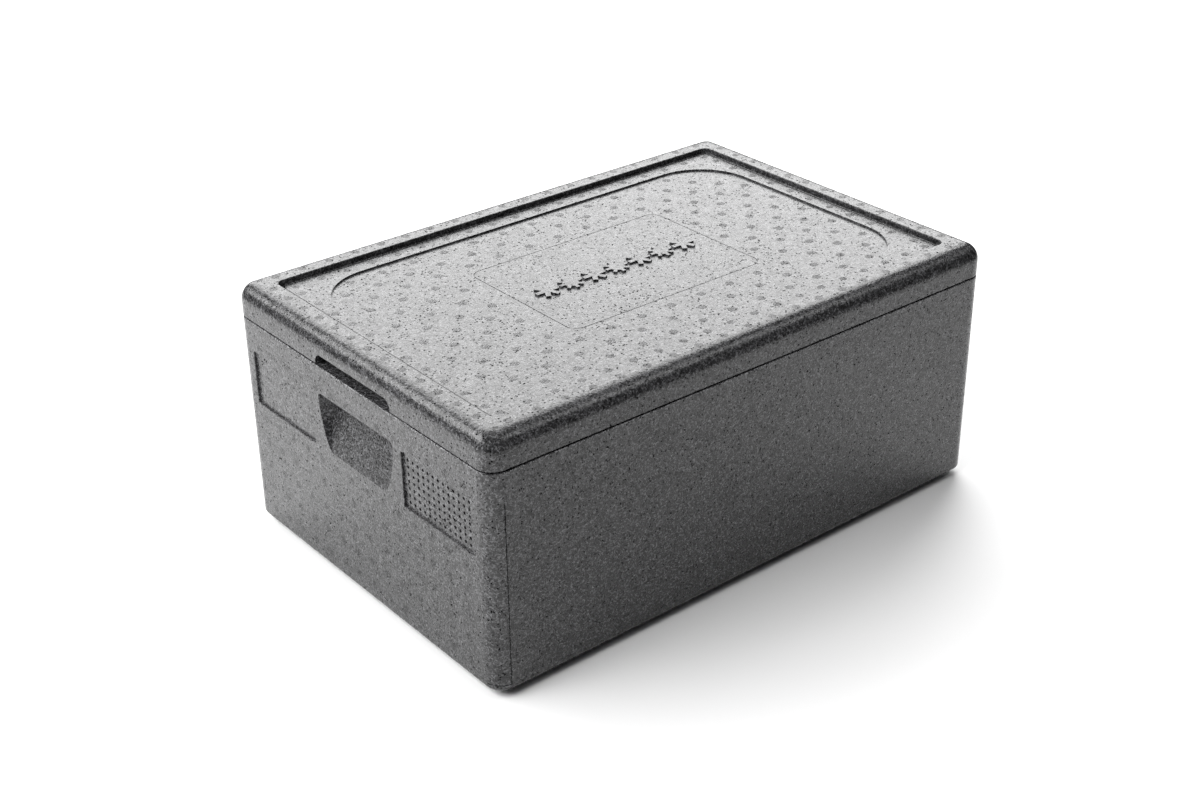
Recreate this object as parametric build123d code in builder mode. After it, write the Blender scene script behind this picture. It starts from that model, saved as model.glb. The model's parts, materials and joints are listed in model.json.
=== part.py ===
"""Insulated food carrier: a bead-foam body and a lift-off lid for full-size gastronorm pans.

The frame stands on the floor: origin under the middle of the base, +X along the length, +Z up.
"""
from build123d import *
import os

os.makedirs("parts", exist_ok=True)

# ---- Driving dimensions, millimetres ------------------------------------------------------------
LENGTH = 600                # outside, along X
WIDTH = 400                 # outside, along Y
HEIGHT = 257                # floor to the top of the lid's rim
PARTING_Z = 224             # where the lid's skirt rests on the body's ledge
CORNER_R = 17               # upright outside corners
PARTING_EDGE_R = 1.0        # softened edges either side of the parting line
PARTING_GAP = 1.3           # open line round the outside, where the skirt's outer part clears the ledge
PARTING_GAP_DEPTH = 7

# Space for a 530 x 325 pan that is 150 deep, with room around its rim
CAVITY_LENGTH = 538
CAVITY_WIDTH = 338
CAVITY_DEPTH = 167          # under the closed lid
CAVITY_CORNER_R = 14
CAVITY_FLOOR_R = 8
FLOOR_Z = 45                # top of the insulated floor

# Foot under the body, which nests in the lid of the carrier below
FOOT_HEIGHT = 8.5
FOOT_CLEARANCE = 2.5
FOOT_EDGE_R = 2
WALL_BOTTOM_R = 3

# Tongue round the top of the body, and the groove in the lid that takes it
TONGUE_WIDTH = 15.5
TONGUE_HEIGHT = 12
TONGUE_EDGE_R = 2
GROOVE_CLEARANCE = 0.5      # beside and above the tongue
PLUG_CLEARANCE = 0.75       # between the lid's plug and the cavity wall
PLUG_EDGE_R = 4

# Lid: rounded outside edge, raised rim, a channel along its foot, the seat inside it, sunk panel
LID_EDGE_R = 16.5
RIM_WIDTH = 28.5
RIM_EDGE_R = 0.9
RECESS_DEPTH = 4.6          # from the rim's top to the seat
RECESS_CORNER_R = 8
CHANNEL_WIDTH = 4.7         # between the rim and the seat
CHANNEL_DEPTH = 10          # below the rim's top
RIM_STEP_DEPTH = 5.5        # upper part of the rim's inner wall, above a narrow ledge
RIM_STEP_WIDTH = 1.4
RIM_STEP_EDGE_R = 1.0
SEAT_CORNER_R = 5
SEAT_EDGE_R = 0.5
PANEL_LENGTH = 503
PANEL_WIDTH = 299
PANEL_CORNER_R = 60
PANEL_DEPTH = 1.8           # below the seat

# Outline of the exchangeable mould plate in the middle of the panel, and its raised signs
PLATE_LENGTH = 232
PLATE_WIDTH = 160
PLATE_CORNER_R = 12
PLATE_LINE = 0.8            # width and depth of the line that the plate leaves
SIGN_COUNT = 7
SIGN_PITCH = 28
SIGN_SIZE = 25
SIGN_BAR = 5
SUN_RAY = 3.5
SUN_R = 8                   # the sun's disc, inside its rays
SIGN_HEIGHT = 1.7

# Finger notch in the lid's skirt, above each handle
NOTCH_LENGTH = 119
NOTCH_HEIGHT = 12
NOTCH_CORNER_R = 9

# Handle pocket in each end wall: its back slopes in from the wall's face to the undercut top edge
GRIP_TOP_Z = 196
GRIP_BOTTOM_Z = 140
GRIP_TOP_LENGTH = 120
GRIP_MIDDLE_LENGTH = 113
GRIP_BOTTOM_LENGTH = 91
GRIP_DEPTH = 20             # under the top edge
GRIP_SIDE_DRAFT = 0.3       # how far each side leans in, per millimetre of depth
GRIP_TOP_CORNER_R = 5
GRIP_BOTTOM_CORNER_R = 10

# Label fields either side of each handle; one of each pair has pits for card pins
LABEL_LENGTH = 102.5
LABEL_HEIGHT = 55
LABEL_CORNER_R = 2
LABEL_OFFSET = 123.5        # from the middle of the end wall to the middle of a field
LABEL_Z = 165.5
LABEL_DEPTH = 2.3
LABEL_EDGE_R = 0.7
PIT_COLUMNS = 13
PIT_ROWS = 7
PIT_PITCH_ACROSS = 7.4
PIT_PITCH_UP = 7.0
PIT_R = 1.6
PIT_DEPTH = 2.5

# Hairline left by the mould's corner insert, on one upright corner
SEAM_INSET = 15             # from the end wall
SEAM_BOTTOM_Z = 14
SEAM_TOP_Z = 196
SEAM_LINE = 1.0             # width and depth

# ---- Sizes worked out from them -----------------------------------------------------------------
tongue_length = CAVITY_LENGTH + 2 * TONGUE_WIDTH
tongue_width = CAVITY_WIDTH + 2 * TONGUE_WIDTH
tongue_corner_r = CAVITY_CORNER_R + 4
groove_length = tongue_length + 2 * GROOVE_CLEARANCE
groove_width = tongue_width + 2 * GROOVE_CLEARANCE
plug_length = CAVITY_LENGTH - 2 * PLUG_CLEARANCE
plug_width = CAVITY_WIDTH - 2 * PLUG_CLEARANCE
plug_z = FLOOR_Z + CAVITY_DEPTH
groove_top_z = PARTING_Z + TONGUE_HEIGHT + GROOVE_CLEARANCE

recess_length = LENGTH - 2 * RIM_WIDTH
recess_width = WIDTH - 2 * RIM_WIDTH
seat_length = recess_length - 2 * CHANNEL_WIDTH
seat_width = recess_width - 2 * CHANNEL_WIDTH
seat_z = HEIGHT - RECESS_DEPTH
panel_z = seat_z - PANEL_DEPTH
foot_length = recess_length - 2 * (RIM_STEP_WIDTH + FOOT_CLEARANCE)
foot_width = recess_width - 2 * (RIM_STEP_WIDTH + FOOT_CLEARANCE)

# Outside face of the -X end: its own x runs to the right as seen from outside, its y is up
end_face = Plane(origin=(-LENGTH / 2, 0, 0), x_dir=(0, -1, 0), z_dir=(-1, 0, 0))
cut_proud = 1               # how far a cutting shape starts outside the face that it cuts


# ---- Cutting shapes for one end wall ------------------------------------------------------------
with BuildPart() as grip_pocket:
    for depth in (-cut_proud, GRIP_DEPTH):
        with BuildSketch(end_face.offset(-depth)) as grip_outline:
            with BuildLine():
                top_x = GRIP_TOP_LENGTH / 2 - depth * GRIP_SIDE_DRAFT
                middle_x = GRIP_MIDDLE_LENGTH / 2 - depth * GRIP_SIDE_DRAFT
                middle_z = (GRIP_TOP_Z + GRIP_BOTTOM_Z) / 2
                bottom_x = GRIP_BOTTOM_LENGTH / 2 - depth * GRIP_SIDE_DRAFT
                Line((-top_x, GRIP_TOP_Z), (top_x, GRIP_TOP_Z))
                ThreePointArc((top_x, GRIP_TOP_Z), (middle_x, middle_z), (bottom_x, GRIP_BOTTOM_Z))
                Line((bottom_x, GRIP_BOTTOM_Z), (-bottom_x, GRIP_BOTTOM_Z))
                ThreePointArc((-bottom_x, GRIP_BOTTOM_Z), (-middle_x, middle_z), (-top_x, GRIP_TOP_Z))
            make_face()
            fillet(grip_outline.vertices().group_by(Axis.Y)[-1], GRIP_TOP_CORNER_R)
            fillet(grip_outline.vertices().group_by(Axis.Y)[0], GRIP_BOTTOM_CORNER_R)
    loft(ruled=True)
    # Keep what lies in front of the sloping back wall
    grip_back = Plane(
        origin=(-LENGTH / 2, 0, GRIP_BOTTOM_Z),
        z_dir=(GRIP_BOTTOM_Z - GRIP_TOP_Z, 0, GRIP_DEPTH),
    )
    split(bisect_by=grip_back, keep=Keep.TOP)

with BuildPart() as label_fields:
    with BuildSketch(end_face.offset(cut_proud)):
        with Locations((-LABEL_OFFSET, LABEL_Z), (LABEL_OFFSET, LABEL_Z)):
            RectangleRounded(LABEL_LENGTH, LABEL_HEIGHT, LABEL_CORNER_R)
    extrude(amount=-(cut_proud + LABEL_DEPTH))
    with BuildSketch(end_face.offset(-LABEL_DEPTH)):
        with Locations((LABEL_OFFSET, LABEL_Z)):
            with GridLocations(PIT_PITCH_ACROSS, PIT_PITCH_UP, PIT_COLUMNS, PIT_ROWS):
                Circle(PIT_R)
    extrude(amount=-PIT_DEPTH)

with BuildPart() as finger_notch:
    with BuildSketch(end_face.offset(cut_proud)) as notch_outline:
        with Locations((0, PARTING_Z)):
            Rectangle(NOTCH_LENGTH, 2 * NOTCH_HEIGHT)
        fillet(notch_outline.vertices().group_by(Axis.Y)[-1], NOTCH_CORNER_R)
    extrude(amount=-(cut_proud + (LENGTH - groove_length) / 2 + cut_proud))

# Hairline up the -X -Y corner, then round it
with BuildPart() as corner_seam:
    with BuildSketch(Plane.XY.offset(SEAM_BOTTOM_Z)):
        with Locations((-LENGTH / 2 + SEAM_INSET, -WIDTH / 2)):
            Rectangle(SEAM_LINE, 2 * SEAM_LINE)
    extrude(amount=SEAM_TOP_Z - SEAM_BOTTOM_Z)
    with BuildSketch(Plane.XY.offset(SEAM_BOTTOM_Z)):
        RectangleRounded(LENGTH + 2 * SEAM_LINE, WIDTH + 2 * SEAM_LINE, CORNER_R + SEAM_LINE)
        RectangleRounded(
            LENGTH - 2 * SEAM_LINE,
            WIDTH - 2 * SEAM_LINE,
            CORNER_R - SEAM_LINE,
            mode=Mode.SUBTRACT,
        )
        with Locations((-LENGTH / 2, -WIDTH / 2)):
            Rectangle(2 * SEAM_INSET, 2 * SEAM_INSET, mode=Mode.INTERSECT)
    extrude(amount=SEAM_LINE)


# ---- Body ---------------------------------------------------------------------------------------
with BuildPart() as box_body:
    with BuildSketch(Plane.XY.offset(FOOT_HEIGHT)):
        RectangleRounded(LENGTH, WIDTH, CORNER_R)
    extrude(amount=PARTING_Z - FOOT_HEIGHT)
    fillet(box_body.faces().sort_by(Axis.Z)[0].edges(), WALL_BOTTOM_R)
    fillet(box_body.faces().sort_by(Axis.Z)[-1].edges(), PARTING_EDGE_R)

    with BuildSketch(Plane.XY):
        RectangleRounded(foot_length, foot_width, CORNER_R)
    extrude(amount=FOOT_HEIGHT)
    fillet(box_body.faces().sort_by(Axis.Z)[0].edges(), FOOT_EDGE_R)

    with BuildSketch(Plane.XY.offset(PARTING_Z)):
        RectangleRounded(tongue_length, tongue_width, tongue_corner_r)
    extrude(amount=TONGUE_HEIGHT)

    with BuildSketch(Plane.XY.offset(FLOOR_Z)):
        RectangleRounded(CAVITY_LENGTH, CAVITY_WIDTH, CAVITY_CORNER_R)
    extrude(amount=PARTING_Z + TONGUE_HEIGHT - FLOOR_Z, mode=Mode.SUBTRACT)
    fillet(box_body.faces().sort_by(Axis.Z)[-1].edges(), TONGUE_EDGE_R)
    cavity_floor = box_body.faces().filter_by(Axis.Z).filter_by_position(Axis.Z, FLOOR_Z - 1, FLOOR_Z + 1)
    fillet(cavity_floor.edges(), CAVITY_FLOOR_R)

    with PolarLocations(0, 2):
        add(grip_pocket.part, mode=Mode.SUBTRACT)
        add(label_fields.part, mode=Mode.SUBTRACT)
    for end in (0, -1):
        end_wall = box_body.faces().filter_by(Axis.X).sort_by(Axis.X)[end]
        field_outlines = end_wall.inner_wires().sort_by(Axis.Y)
        fillet(field_outlines[0].edges() + field_outlines[-1].edges(), LABEL_EDGE_R)
    add(corner_seam.part, mode=Mode.SUBTRACT)

box_body.part.label = "box_body"
export_step(box_body.part, "parts/box_body.step")


# ---- Lid ----------------------------------------------------------------------------------------
with BuildPart() as lid:
    with BuildSketch(Plane.XY.offset(PARTING_Z)):
        RectangleRounded(LENGTH, WIDTH, CORNER_R)
    extrude(amount=HEIGHT - PARTING_Z)
    fillet(lid.faces().sort_by(Axis.Z)[-1].edges(), LID_EDGE_R)
    with BuildSketch(Plane.XY.offset(PARTING_Z)):
        RectangleRounded(LENGTH + 2 * cut_proud, WIDTH + 2 * cut_proud, CORNER_R + cut_proud)
        RectangleRounded(
            LENGTH - 2 * PARTING_GAP_DEPTH,
            WIDTH - 2 * PARTING_GAP_DEPTH,
            CORNER_R - PARTING_GAP_DEPTH,
            mode=Mode.SUBTRACT,
        )
    extrude(amount=PARTING_GAP, mode=Mode.SUBTRACT)
    skirt_bottom = lid.faces().filter_by(Axis.Z).sort_by(Axis.Z)[1]
    fillet(skirt_bottom.outer_wire().edges(), PARTING_EDGE_R)

    # Stacking recess down to the seat, then the channel along the rim, with a ledge on its wall
    with BuildSketch(Plane.XY.offset(HEIGHT)):
        RectangleRounded(recess_length, recess_width, RECESS_CORNER_R)
    extrude(amount=-RECESS_DEPTH, mode=Mode.SUBTRACT)
    rim_top = lid.faces().sort_by(Axis.Z)[-1]
    fillet(rim_top.inner_wires()[0].edges(), RIM_EDGE_R)
    for depth, inset in ((RIM_STEP_DEPTH, 0), (CHANNEL_DEPTH, RIM_STEP_WIDTH)):
        with BuildSketch(Plane.XY.offset(seat_z)):
            RectangleRounded(
                recess_length - 2 * inset,
                recess_width - 2 * inset,
                RECESS_CORNER_R - inset,
            )
            RectangleRounded(seat_length, seat_width, SEAT_CORNER_R, mode=Mode.SUBTRACT)
        extrude(amount=-(depth - RECESS_DEPTH), mode=Mode.SUBTRACT)
    ledge = lid.faces().filter_by(Axis.Z).sort_by(Axis.Z)[-3]
    fillet(ledge.inner_wires()[0].edges(), RIM_STEP_EDGE_R)
    seat = lid.faces().filter_by(Axis.Z).sort_by(Axis.Z)[-2]
    fillet(seat.outer_wire().edges(), SEAT_EDGE_R)

    # Sunk panel, the mould plate's outline and the raised signs: snowflake and sun in turn
    with BuildSketch(Plane.XY.offset(seat_z)):
        RectangleRounded(PANEL_LENGTH, PANEL_WIDTH, PANEL_CORNER_R)
    extrude(amount=-PANEL_DEPTH, mode=Mode.SUBTRACT)
    with BuildSketch(Plane.XY.offset(panel_z)):
        RectangleRounded(PLATE_LENGTH, PLATE_WIDTH, PLATE_CORNER_R)
        RectangleRounded(
            PLATE_LENGTH - 2 * PLATE_LINE,
            PLATE_WIDTH - 2 * PLATE_LINE,
            PLATE_CORNER_R - PLATE_LINE,
            mode=Mode.SUBTRACT,
        )
    extrude(amount=-PLATE_LINE, mode=Mode.SUBTRACT)
    with BuildSketch(Plane.XY.offset(panel_z)):
        for index in range(SIGN_COUNT):
            sign_x = (index - (SIGN_COUNT - 1) / 2) * SIGN_PITCH
            with Locations((sign_x, 0)):
                if index % 2 == 0:
                    with PolarLocations(0, 3, angular_range=180):
                        Rectangle(SIGN_SIZE, SIGN_BAR)
                else:
                    Circle(SUN_R)
                    with PolarLocations(0, 4, angular_range=180):
                        Rectangle(SIGN_SIZE, SUN_RAY)
    extrude(amount=SIGN_HEIGHT)

    # Groove for the body's tongue, and the plug inside it
    with BuildSketch(Plane.XY.offset(PARTING_Z)):
        RectangleRounded(groove_length, groove_width, tongue_corner_r + GROOVE_CLEARANCE)
    extrude(amount=groove_top_z - PARTING_Z, mode=Mode.SUBTRACT)
    with BuildSketch(Plane.XY.offset(plug_z)):
        RectangleRounded(plug_length, plug_width, CAVITY_CORNER_R - PLUG_CLEARANCE)
    extrude(amount=groove_top_z - plug_z)
    fillet(lid.faces().sort_by(Axis.Z)[0].edges(), PLUG_EDGE_R)

    with PolarLocations(0, 2):
        add(finger_notch.part, mode=Mode.SUBTRACT)

lid.part.label = "lid"
export_step(lid.part, "parts/lid.step")
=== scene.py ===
"""Looks for the insulated food carrier: bead-foam skin, steam vents, studio floor, lights, camera."""
import json
import math

import bmesh
import bpy
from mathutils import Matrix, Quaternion, Vector


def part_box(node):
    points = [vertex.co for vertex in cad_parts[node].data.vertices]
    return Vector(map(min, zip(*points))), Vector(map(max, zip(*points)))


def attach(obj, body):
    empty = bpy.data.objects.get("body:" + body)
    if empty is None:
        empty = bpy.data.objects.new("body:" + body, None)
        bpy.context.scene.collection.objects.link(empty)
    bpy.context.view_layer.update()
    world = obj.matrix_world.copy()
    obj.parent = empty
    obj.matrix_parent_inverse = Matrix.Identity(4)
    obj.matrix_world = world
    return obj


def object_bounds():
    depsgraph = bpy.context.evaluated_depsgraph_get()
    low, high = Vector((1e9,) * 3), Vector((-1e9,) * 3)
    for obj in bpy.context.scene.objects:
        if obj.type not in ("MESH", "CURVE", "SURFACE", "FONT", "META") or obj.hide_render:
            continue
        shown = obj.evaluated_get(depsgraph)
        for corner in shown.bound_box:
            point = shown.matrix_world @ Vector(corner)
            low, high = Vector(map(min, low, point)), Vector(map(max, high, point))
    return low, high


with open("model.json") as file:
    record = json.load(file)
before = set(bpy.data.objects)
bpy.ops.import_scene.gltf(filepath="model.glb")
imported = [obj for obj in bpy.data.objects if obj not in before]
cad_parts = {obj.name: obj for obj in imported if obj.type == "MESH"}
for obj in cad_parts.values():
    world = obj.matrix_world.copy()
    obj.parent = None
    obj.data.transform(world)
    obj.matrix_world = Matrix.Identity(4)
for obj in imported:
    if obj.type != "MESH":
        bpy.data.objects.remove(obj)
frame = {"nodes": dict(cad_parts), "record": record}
cad_low, cad_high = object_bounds()

MM = 0.001

# ---- Places read from the frame -----------------------------------------------------------------
lid_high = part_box("lid")[1]
body_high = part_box("box_body")[1]
mounts = {m["name"]: m for m in frame["record"]["mounts"]}
seat_z = mounts["stack_seat"]["pos_m"][2]

# The lid's sunk panel and the mould plate in its middle, as in the CAD part
PANEL_DEPTH = 1.8 * MM
PANEL_HALF = (251.5 * MM, 149.5 * MM)
PANEL_CORNER_R = 60 * MM
PLATE_HALF = (116 * MM, 80 * MM)
panel_z = seat_z - PANEL_DEPTH

# Steam vents: staggered rows over the panel
VENT_PITCH_X = 36 * MM
VENT_PITCH_Y = 21.2 * MM
VENT_ORIGIN = (4.1 * MM, 10.6 * MM)
VENT_ROWS, VENT_COLUMNS = 9, 18     # how far the lattice reaches either way before it is trimmed
VENT_R = 4.3 * MM
VENT_MARGIN = 2 * MM
VENT_SLITS = 5
# Each vent's bars: half width and reach as shares of the pitch and the circle, height over the face
BAR_HALF_WIDTH = 0.32
BAR_REACH = 0.92
BAR_HEIGHT = 0.22 * MM
BAR_SINK = 0.1 * MM
BAR_INSET = 0.1 * MM
# One row of slightly smaller vents round the seat, between the panel and the rim
STRIP_VENT_R = VENT_R * 0.9
STRIP_X, STRIP_Y = 260 * MM, 159.5 * MM
STRIP_PITCH = 28.6 * MM
# One row round the rim's top, and a square grid on the end walls: marks in the skin, no raised bars
RIM_X, RIM_Y = 280.7 * MM, 181.6 * MM
RIM_PITCH = 29.5 * MM
RIM_END_PITCH = RIM_PITCH * 0.9
WALL_PITCH = 25 * MM
FACE_SLACK = 0.1 * MM               # how far off a flat face a point still counts as on it

# Middle of the label fields and handles on the end walls, and how far up and down they reach
LABEL_Z = 165.5 * MM
LABEL_REACH = 32 * MM

# Where the lid's skirt meets the body, under the tongue, and how far in its outer edge reaches
TONGUE_HEIGHT = 12 * MM
parting_z = body_high.z - TONGUE_HEIGHT
EDGE_BAND = 1.2 * MM
# How far below the parting line the painted highlight on that edge starts and ends, each over a short
# fade: bright flecks standing in for the glint of the body's rounded top edge
GLINT_START = (1.3 * MM, 1.0 * MM)
GLINT_END = (0.4 * MM, 0.2 * MM)

# The foam: its colour, the cells per metre of each texture, the tones of its painted glints, its relief
FOAM = (0.024, 0.024, 0.025)
FOAM_IOR = 1.5
BEAD_SCALE = 270
PORE_SCALE = 335
PORE_SIZE_SCALE = 250
GRAIN_SCALE = 520
GLINT_FLECK_SCALE = 300
GLINT_SPECK_SCALE = 600
PATCH_SCALE = 90
EDGE_GLINT_SCALE = 700
GLINT_TONE = 3.6
EDGE_GLINT_TONE = 9.0
RELIEF = 0.22 * MM

# The floor and what stands on it out of shot
FLOOR_RADIUS = 6.0
FLOOR_WHITE_FROM, FLOOR_WHITE_TO = 1.2, 2.2
FLAG_INNER = 1.5
FLAG_LIFT = 2 * MM
RING_POINTS = 96

CAMERA_PLACE = (-1.0093, -1.2110, 0.9623)
CAMERA_AZIMUTH = -39.19
CAMERA_ELEVATION = 28.47
CAMERA_ROLL = -0.58
CAMERA_LENS = 54.3
CAMERA_SENSOR = 36


# ---- Node helpers -------------------------------------------------------------------------------
class Nodes:
    """Builds one material's node tree with short calls."""

    def __init__(self, name):
        self.material = bpy.data.materials.new(name)
        self.material.use_nodes = True
        self.tree = self.material.node_tree
        self.shader = next(n for n in self.tree.nodes if n.type == "BSDF_PRINCIPLED")

    def add(self, kind, inputs=None, **settings):
        node = self.tree.nodes.new("ShaderNode" + kind)
        for key, value in settings.items():
            setattr(node, key, value)
        for key, value in (inputs or {}).items():
            self.put(node.inputs[key], value)
        return node

    def put(self, socket, value):
        if isinstance(value, bpy.types.NodeSocket):
            self.tree.links.new(value, socket)
        else:
            socket.default_value = value

    def math(self, operation, a, b=0.0, c=0.0):
        return self.add("Math", {0: a, 1: b, 2: c}, operation=operation).outputs[0]

    def ramp(self, value, low, high, to_low=0.0, to_high=1.0):
        inputs = {"Value": value, "From Min": low, "From Max": high, "To Min": to_low, "To Max": to_high}
        return self.add("MapRange", inputs).outputs["Result"]


def distance_to_row(n, along, across, pitch, start=0.0):
    """Distance from the nearest of the points spaced along a line."""
    along = n.math("WRAP", n.math("SUBTRACT", along, start), pitch / 2, -pitch / 2)
    return n.math("SQRT", n.math("MULTIPLY_ADD", across, across, n.math("MULTIPLY", along, along)))


def all_vent(n, x, y, z):
    """The vents' own pieces are marked all over, but faintly: their bars already show."""
    return 0.15


def rim_vents(n, x, y, z):
    """1 inside the marks along the top of the rim, with the lines of their slits."""
    from_x = n.math("SUBTRACT", n.math("ABSOLUTE", x), RIM_X)
    from_y = n.math("SUBTRACT", n.math("ABSOLUTE", y), RIM_Y)
    ends = distance_to_row(n, y, from_x, RIM_END_PITCH)
    sides = distance_to_row(n, x, from_y, RIM_PITCH)
    inside = n.ramp(n.math("MINIMUM", ends, sides), VENT_R * 0.86, VENT_R * 0.96, 1.0, 0.0)
    return n.math("MULTIPLY", inside, n.math("GREATER_THAN", z, lid_high.z - 2 * FACE_SLACK))


def wall_vents(n, x, y, z):
    """1 inside the marks on the flat of the end walls, below and above the labels."""
    row = n.math("WRAP", z, WALL_PITCH / 2, -WALL_PITCH / 2)
    spots = distance_to_row(n, y, row, WALL_PITCH, WALL_PITCH / 2)
    inside = n.ramp(spots, VENT_R * 0.9, VENT_R, 1.0, 0.0)
    face = n.math("GREATER_THAN", n.math("ABSOLUTE", x), body_high.x - FACE_SLACK)
    band = n.math("GREATER_THAN", n.math("ABSOLUTE", n.math("SUBTRACT", z, LABEL_Z)), LABEL_REACH)
    return n.math("MULTIPLY", inside, n.math("MULTIPLY", face, band))


def painted_edge_glint(n, x, y, z):
    """1 on the body's softened edge under the lid's skirt, where a painted highlight stands in for the
    glint of that edge.
    """
    out_x = n.math("SUBTRACT", n.math("ABSOLUTE", x), body_high.x - EDGE_BAND)
    out_y = n.math("SUBTRACT", n.math("ABSOLUTE", y), body_high.y - EDGE_BAND)
    outside = n.math("GREATER_THAN", n.math("MAXIMUM", out_x, out_y), 0.0)
    above = n.ramp(z, parting_z - GLINT_START[0], parting_z - GLINT_START[1])
    below = n.ramp(z, parting_z - GLINT_END[0], parting_z - GLINT_END[1], 1.0, 0.0)
    return n.math("MULTIPLY", outside, n.math("MULTIPLY", above, below))


def no_painted_edge_glint(n, x, y, z):
    return 0.0


def bead_foam(name, base, marks, edge_glint=no_painted_edge_glint):
    """Moulded bead foam: pressed beads, pores where they meet with painted shade in them, painted glints
    as pale flecks, a satin skin.
    """
    n = Nodes(name)
    place = n.add("TexCoord").outputs["Object"]

    def shifted(offset):
        return n.add("VectorMath", {0: place, 1: offset}, operation="ADD").outputs[0]

    def cells(scale, offset, feature="F1"):
        return n.add("TexVoronoi", {"Vector": shifted(offset), "Scale": scale}, feature=feature)

    def noise(scale, detail, offset=(0, 0, 0)):
        inputs = {"Vector": shifted(offset), "Scale": scale, "Detail": detail}
        return n.add("TexNoise", inputs).outputs["Fac"]

    # Beads 3 to 4 mm across, each with its own tone, and the line where two meet
    bead_start = (0.013, 0.007, 0.003)
    bead = cells(BEAD_SCALE, bead_start)
    bead_tone = n.add("SeparateColor", {"Color": bead.outputs["Color"]}).outputs[0]
    bead_edge = cells(BEAD_SCALE, bead_start, "DISTANCE_TO_EDGE").outputs["Distance"]
    seam = n.ramp(bead_edge, 0.03, 0.15, 1.0, 0.0)

    # Pores of uneven size, at most one to each cell: sunk in the relief, with painted shade in their
    # colour
    pore_distance = cells(PORE_SCALE, (0.031, 0.022, 0.017)).outputs["Distance"]
    pore_reach = n.ramp(noise(PORE_SIZE_SCALE, 0, (0.2, 0.1, 0.3)), 0.42, 0.62, 0.00, 0.28)
    pore = n.ramp(n.math("SUBTRACT", pore_distance, pore_reach), -0.05, 0.04, 1.0, 0.0)

    # Grain, and painted glints: pale flecks along parts of the bead lines and scattered specks, standing
    # in for light caught by bead facets
    grain = noise(GRAIN_SCALE, 2, (0.4, 0.5, 0.6))
    glint_fleck = n.math("MULTIPLY", seam, n.ramp(noise(GLINT_FLECK_SCALE, 1, (0.7, 0.2, 0.9)), 0.52, 0.60))
    glint_speck = n.ramp(noise(GLINT_SPECK_SCALE, 1, (0.3, 0.8, 0.1)), 0.60, 0.68)
    patch = noise(PATCH_SCALE, 3)

    # Vent marks, a dull disc crossed by fine slits, and a painted highlight of bright flecks along the
    # body's top edge
    across = n.add("SeparateXYZ", {"Vector": place})
    vent = marks(n, across.outputs[0], across.outputs[1], across.outputs[2])
    glint_flecks = edge_glint(n, across.outputs[0], across.outputs[1], across.outputs[2])
    glint_flecks = n.math("MULTIPLY", glint_flecks, n.ramp(noise(EDGE_GLINT_SCALE, 1, (0.5, 0.1, 0.6)), 0.50, 0.58))
    pitch = 2 * VENT_R / VENT_SLITS
    diagonal = n.math("ADD", across.outputs[0], across.outputs[1])
    off_line = n.math("ABSOLUTE", n.math("WRAP", diagonal, pitch / 2, -pitch / 2))
    slit = n.math("MULTIPLY", vent, n.ramp(off_line, pitch * 0.16, pitch * 0.26, 1.0, 0.0))
    marked = n.math("ADD", vent, slit)

    # Colour
    tone = n.ramp(bead_tone, 0.0, 1.0, 0.60, 1.40)
    tone = n.math("MULTIPLY", tone, n.ramp(grain, 0.30, 0.70, 0.40, 1.60))
    tone = n.math("MULTIPLY", tone, n.ramp(patch, 0.30, 0.70, 0.70, 1.30))
    # Painted glints: the pale flecks and specks are brightened into the colour
    tone = n.math("ADD", tone, n.math("MULTIPLY", n.math("MAXIMUM", glint_fleck, glint_speck), GLINT_TONE))
    # Painted shade: the colour is darkened in the pores
    tone = n.math("MULTIPLY", tone, n.ramp(pore, 0.0, 1.0, 1.0, 0.10))
    tone = n.math("MULTIPLY", tone, n.ramp(marked, 0.0, 2.0, 1.0, 0.65))
    # Painted highlight: bright flecks along the body's edge under the lid's skirt
    tone = n.math("ADD", tone, n.math("MULTIPLY", glint_flecks, EDGE_GLINT_TONE))
    colour = n.add("VectorMath", {0: base, "Scale": tone}, operation="SCALE").outputs[0]
    n.put(n.shader.inputs["Base Color"], colour)

    # Gloss: a satin skin, dull in the pores and on the marks
    rough = n.ramp(grain, 0.3, 0.7, 0.20, 0.30)
    n.put(n.shader.inputs["Roughness"], n.math("ADD", rough, n.math("MULTIPLY", pore, 0.4)))
    gloss = n.math("MULTIPLY", n.ramp(pore, 0.0, 1.0, 0.55, 0.0), n.ramp(grain, 0.30, 0.70, 0.80, 1.20))
    gloss = n.math("MULTIPLY", gloss, n.ramp(bead_tone, 0.0, 1.0, 0.82, 1.12))
    gloss = n.math("MULTIPLY", gloss, n.ramp(marked, 0.0, 2.0, 1.0, 0.55))
    n.put(n.shader.inputs["Specular IOR Level"], gloss)
    n.put(n.shader.inputs["IOR"], FOAM_IOR)

    # Relief
    height = n.math("MULTIPLY", n.ramp(bead_edge, 0.0, 0.25), 0.25)
    height = n.math("SUBTRACT", height, n.math("MULTIPLY", pore, 1.2))
    height = n.math("ADD", height, n.math("MULTIPLY", grain, 0.7))
    height = n.math("SUBTRACT", height, n.math("MULTIPLY", slit, 0.6))
    bump = n.add("Bump", {"Height": height, "Distance": RELIEF, "Strength": 1.0})
    n.put(n.shader.inputs["Normal"], bump.outputs["Normal"])
    return n.material


# ---- Steam vents --------------------------------------------------------------------------------
def on_panel(x, y):
    """True where a vent fits on the sunk panel, clear of its edge and of the mould plate."""
    margin = VENT_R + VENT_MARGIN
    if abs(x) < PLATE_HALF[0] + margin and abs(y) < PLATE_HALF[1] + margin:
        return False
    straight_x, straight_y = PANEL_HALF[0] - PANEL_CORNER_R, PANEL_HALF[1] - PANEL_CORNER_R
    out_x, out_y = max(abs(x) - straight_x, 0), max(abs(y) - straight_y, 0)
    return math.hypot(out_x, out_y) < PANEL_CORNER_R - margin


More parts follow.
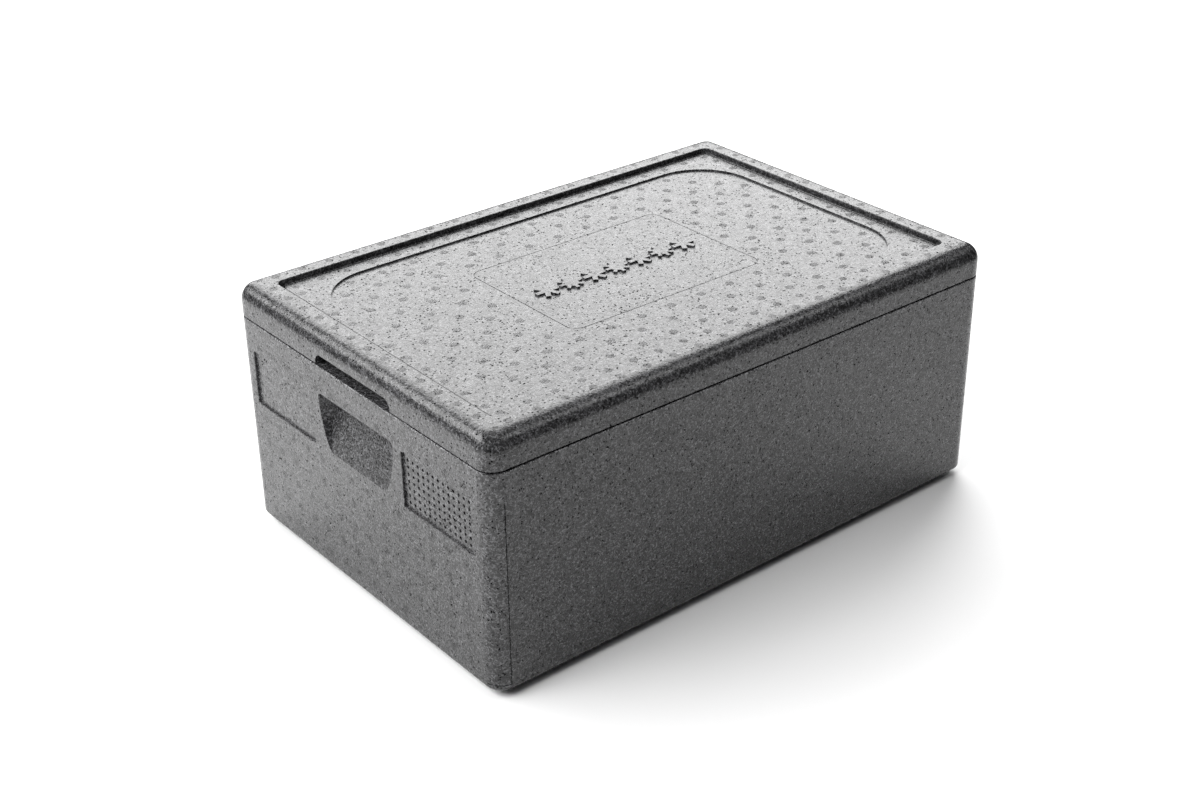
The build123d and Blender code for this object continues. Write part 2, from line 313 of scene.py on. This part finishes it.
def vent_places():
    """Centres of the staggered lattice that lie on the panel."""
    for j in range(-VENT_ROWS, VENT_ROWS + 1):
        for i in range(-VENT_COLUMNS, VENT_COLUMNS + 1):
            if (i + j) % 2 == 0:
                x = VENT_ORIGIN[0] + i * VENT_PITCH_X / 2
                y = VENT_ORIGIN[1] + j * VENT_PITCH_Y
                if on_panel(x, y):
                    yield x, y


def strip_places():
    """Centres of the row round the strip between the panel and the rim."""
    along_x = int(STRIP_X / STRIP_PITCH)
    for k in range(-along_x, along_x + 1):
        for side in (-1, 1):
            yield k * STRIP_PITCH, side * STRIP_Y
    along_y = int((STRIP_Y - STRIP_PITCH / 2) / STRIP_PITCH)
    for k in range(-along_y, along_y + 1):
        for side in (-1, 1):
            yield side * STRIP_X, k * STRIP_PITCH


def add_bar(mesh, x0, x1, y0, y1, z0, z1):
    """A closed bar with its top edges drawn in a little."""
    low = [mesh.verts.new(p) for p in ((x0, y0, z0), (x1, y0, z0), (x1, y1, z0), (x0, y1, z0))]
    top = [
        mesh.verts.new(p)
        for p in (
            (x0 + BAR_INSET, y0 + BAR_INSET, z1),
            (x1 - BAR_INSET, y0 + BAR_INSET, z1),
            (x1 - BAR_INSET, y1 - BAR_INSET, z1),
            (x0 + BAR_INSET, y1 - BAR_INSET, z1),
        )
    ]
    mesh.faces.new(top)
    mesh.faces.new(low[::-1])
    for k in range(4):
        mesh.faces.new((low[k], low[(k + 1) % 4], top[(k + 1) % 4], top[k]))


def vents(name, places, z, radius):
    """The marks that slotted steam vents leave: short raised bars inside a circle."""
    mesh = bmesh.new()
    pitch = 2 * radius / VENT_SLITS
    wide = BAR_HALF_WIDTH * pitch
    for x, y in places:
        for k in range(VENT_SLITS):
            off = (k - (VENT_SLITS - 1) / 2) * pitch
            long = math.sqrt(radius ** 2 - off ** 2) * BAR_REACH
            middle = x + off
            add_bar(mesh, middle - wide, middle + wide, y - long, y + long, z - BAR_SINK, z + BAR_HEIGHT)
    data = bpy.data.meshes.new(name)
    mesh.to_mesh(data)
    mesh.free()
    piece = bpy.data.objects.new(name, data)
    bpy.context.scene.collection.objects.link(piece)
    return piece


body_skin = bead_foam("bead_foam_body", FOAM, wall_vents, painted_edge_glint)
lid_skin = bead_foam("bead_foam_lid", FOAM, rim_vents)
for node, skin in (("box_body", body_skin), ("lid", lid_skin)):
    for material_slot in frame["nodes"][node].material_slots:
        material_slot.material = skin

panel_vents = vents("panel_vents", vent_places(), panel_z, VENT_R)
strip_vents = vents("strip_vents", strip_places(), seat_z, STRIP_VENT_R)
vent_skin = bead_foam("bead_foam_vents", FOAM, all_vent)
for piece in (panel_vents, strip_vents):
    piece.data.materials.append(vent_skin)
    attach(piece, "lid")


# ---- Floor, light and camera --------------------------------------------------------------------
def direction(azimuth, elevation):
    """Unit vector towards where something stands: azimuth 0 is in front of the -Y side."""
    a, e = math.radians(azimuth), math.radians(elevation)
    return Vector((math.sin(a) * math.cos(e), -math.cos(a) * math.cos(e), math.sin(e)))


def studio_floor(radius, white_from, white_to):
    """A pale disc that glows to an even white far out, so no dark horizon shows behind the carrier."""
    n = Nodes("studio_floor")
    place = n.add("TexCoord").outputs["Object"]
    reach = n.add("VectorMath", {0: place}, operation="LENGTH").outputs["Value"]
    n.put(n.shader.inputs["Emission Color"], (1, 1, 1, 1))
    n.put(n.shader.inputs["Emission Strength"], n.ramp(reach, white_from, white_to))
    n.put(n.shader.inputs["Base Color"], (0.9, 0.9, 0.9, 1))
    n.put(n.shader.inputs["Roughness"], 0.8)
    n.put(n.shader.inputs["Specular IOR Level"], 0.1)
    bpy.ops.mesh.primitive_circle_add(
        vertices=RING_POINTS, radius=radius, fill_type="NGON", location=(0, 0, cad_low.z)
    )
    floor = bpy.context.object
    floor.name = "floor"
    floor.data.materials.append(n.material)


def floor_flag(inner, outer):
    """A black ring on the floor out of shot, there for reflections only."""
    n = Nodes("flag_black")
    n.put(n.shader.inputs["Base Color"], (0.0, 0.0, 0.0, 1))
    n.put(n.shader.inputs["Roughness"], 1.0)
    n.put(n.shader.inputs["Specular IOR Level"], 0.0)
    mesh = bmesh.new()
    turns = [2 * math.pi * k / RING_POINTS for k in range(RING_POINTS)]
    near, far = (
        [mesh.verts.new((radius * math.cos(t), radius * math.sin(t), FLAG_LIFT)) for t in turns]
        for radius in (inner, outer)
    )
    for k in range(RING_POINTS):
        after = (k + 1) % RING_POINTS
        mesh.faces.new((near[k], near[after], far[after], far[k]))
    data = bpy.data.meshes.new("floor_flag")
    mesh.to_mesh(data)
    mesh.free()
    data.materials.append(n.material)
    flag = bpy.data.objects.new("floor_flag", data)
    for ray in ("camera", "diffuse", "shadow", "transmission", "volume_scatter"):
        setattr(flag, "visible_" + ray, False)
    bpy.context.scene.collection.objects.link(flag)


def softbox(name, azimuth, elevation, distance, size, radiance, aim=(0, 0, 0.15), glossy=True):
    """A rectangular light of one brightness, turned to the carrier and hidden from the camera."""
    back = direction(azimuth, elevation)
    light = bpy.data.lights.new(name, "AREA")
    light.shape = "RECTANGLE"
    light.size, light.size_y = size
    light.energy = radiance * math.pi * size[0] * size[1]
    obj = bpy.data.objects.new(name, light)
    obj.location = Vector(aim) + back * distance
    obj.rotation_euler = back.to_track_quat("Z", "Y").to_euler()
    obj.visible_camera = False
    obj.visible_glossy = glossy
    bpy.context.scene.collection.objects.link(obj)


def studio_world(seen, fill):
    """Even white behind the floor as the camera sees it, a low even fill for everything else."""
    world = bpy.data.worlds.new("studio")
    world.use_nodes = True
    tree = world.node_tree
    background = tree.nodes["Background"]
    background.inputs["Color"].default_value = (1, 1, 1, 1)
    path = tree.nodes.new("ShaderNodeLightPath")
    strength = tree.nodes.new("ShaderNodeMapRange")
    tree.links.new(path.outputs["Is Camera Ray"], strength.inputs["Value"])
    strength.inputs["To Min"].default_value = fill
    strength.inputs["To Max"].default_value = seen
    tree.links.new(strength.outputs["Result"], background.inputs["Strength"])
    bpy.context.scene.world = world


studio_floor(FLOOR_RADIUS, FLOOR_WHITE_FROM, FLOOR_WHITE_TO)
floor_flag(FLAG_INNER, FLOOR_RADIUS)
studio_world(1.0, 0.02)
softbox("back_right_softbox", 148, 35, 3.2, (3.8, 2.8), 4.4)
softbox("back_left_softbox", 227, 34, 3.2, (2.0, 1.5), 6.2)
softbox("top_scrim", 20, 88, 3.0, (2.4, 2.4), 1.1)
softbox("front_overhead_softbox", 50, 46, 3.0, (1.5, 0.6), 3.4)
softbox("left_key", 274, 40, 1.8, (1.0, 1.0), 9.2, glossy=False)
softbox("right_fill", 115, 60, 1.9, (1.0, 1.0), 5.6, aim=(0.5, 0.3, 0), glossy=False)

camera_data = bpy.data.cameras.new("camera")
camera_data.sensor_width = CAMERA_SENSOR
camera_data.lens = CAMERA_LENS
camera = bpy.data.objects.new("camera", camera_data)
camera.location = CAMERA_PLACE
facing = direction(CAMERA_AZIMUTH, CAMERA_ELEVATION).to_track_quat("Z", "Y")
camera.rotation_euler = (facing @ Quaternion((0, 0, 1), math.radians(CAMERA_ROLL))).to_euler()
bpy.context.scene.collection.objects.link(camera)
bpy.context.scene.camera = camera
bpy.context.scene.view_settings.view_transform = "Standard"
